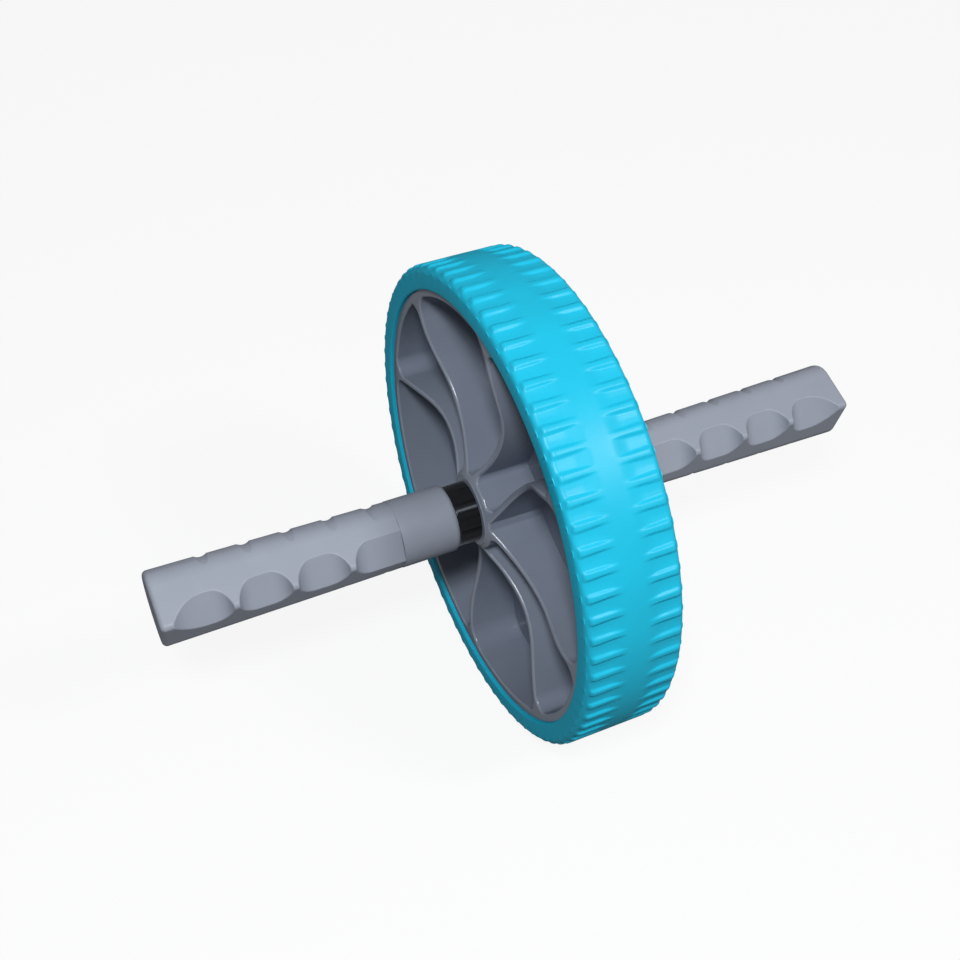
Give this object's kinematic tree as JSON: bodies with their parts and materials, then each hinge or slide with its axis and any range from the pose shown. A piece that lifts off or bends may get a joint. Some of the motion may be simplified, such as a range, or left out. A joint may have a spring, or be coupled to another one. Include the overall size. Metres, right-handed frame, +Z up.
{
  "type": "ab wheel roller",
  "caption": "Ab roller: a wide rubber-tyred wheel that spins on a through axle between a left and a right finger-grooved grip.",
  "frame": {"origin": "on the floor under the middle of the wheel, midway between the two grip ends", "axes": "+X along the axle to the right grip, +Y to the back, +Z up; the wheel stands on its tread"},
  "size_m": [0.2792, 0.185, 0.185],
  "materials": {
    "tyre": "satin moulded soft rubber, teal",
    "core": "satin injection-moulded plastic, blue-grey",
    "bush": "natural acetal",
    "steel": "drawn steel tube",
    "chrome": "dark chrome plate",
    "plug": "black moulded plastic",
    "grip": "satin moulded plastic, blue-grey"
  },
  "bodies": {
    "wheel": {"tyre": "tyre", "wheel_core": "core", "hub_bush_left": "bush", "hub_bush_right": "bush"},
    "handles": {"axle_tube": "steel", "spacer_left": "chrome", "spacer_right": "chrome", "tube_plug_left": "plug", "tube_plug_right": "plug", "grip_left": "grip", "grip_right": "grip"}
  },
  "joints": [
    {"name": "wheel_spin", "type": "hinge", "parent": "wheel", "child": "handles", "pos_m": [0, 0, 0.0925], "axis": [1, 0, 0], "continuous": true}
  ]
}
